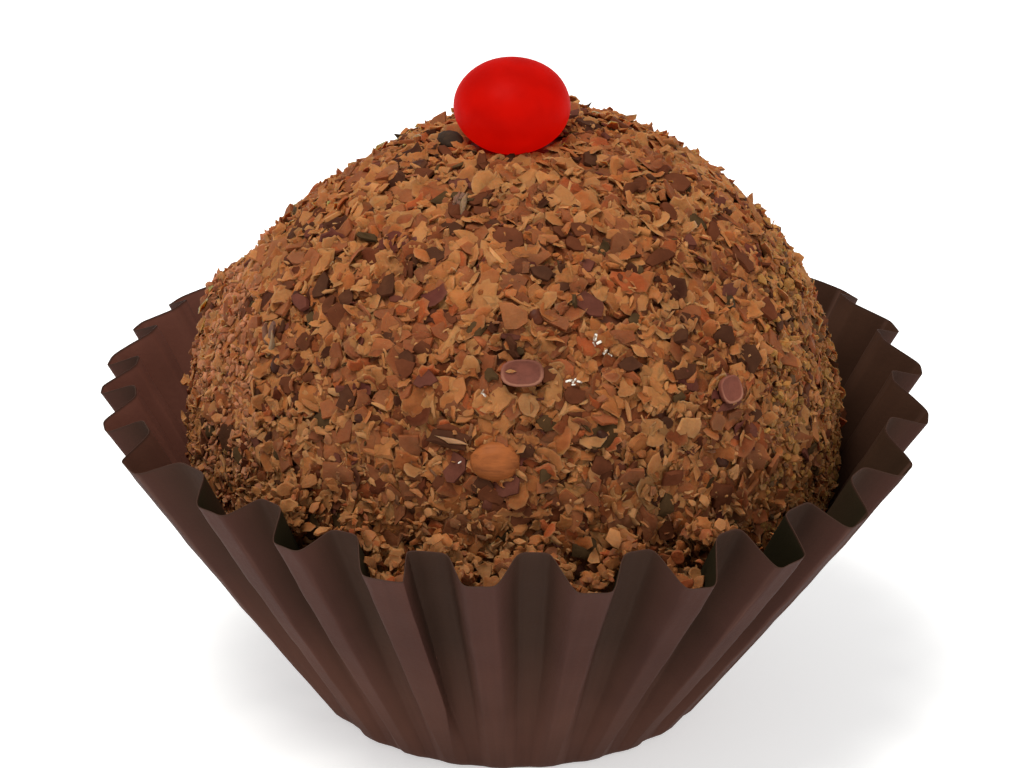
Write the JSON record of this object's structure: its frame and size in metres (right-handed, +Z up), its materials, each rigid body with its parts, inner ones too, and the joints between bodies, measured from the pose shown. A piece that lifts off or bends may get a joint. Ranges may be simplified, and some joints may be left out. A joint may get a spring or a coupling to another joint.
{
  "type": "brigadeiro in a paper case",
  "caption": "Ball of chocolate fudge rolled in chocolate flakes, topped with a red sugar ball, resting in a pleated brown paper case.",
  "frame": {"origin": "middle of the paper case's flat base, on the surface it stands on", "axes": "+Z up through the ball and the red sugar ball, +X to the right and -Y to the front"},
  "size_m": [0.0436, 0.0437, 0.036],
  "materials": {
    "case_paper": "matte",
    "flaked_chocolate": "matte",
    "red_sugar": "gloss"
  },
  "bodies": {
    "root": {"paper_case": "case_paper", "flaked_ball": "flaked_chocolate", "red_sugar_ball": "red_sugar"}
  },
  "joints": []
}
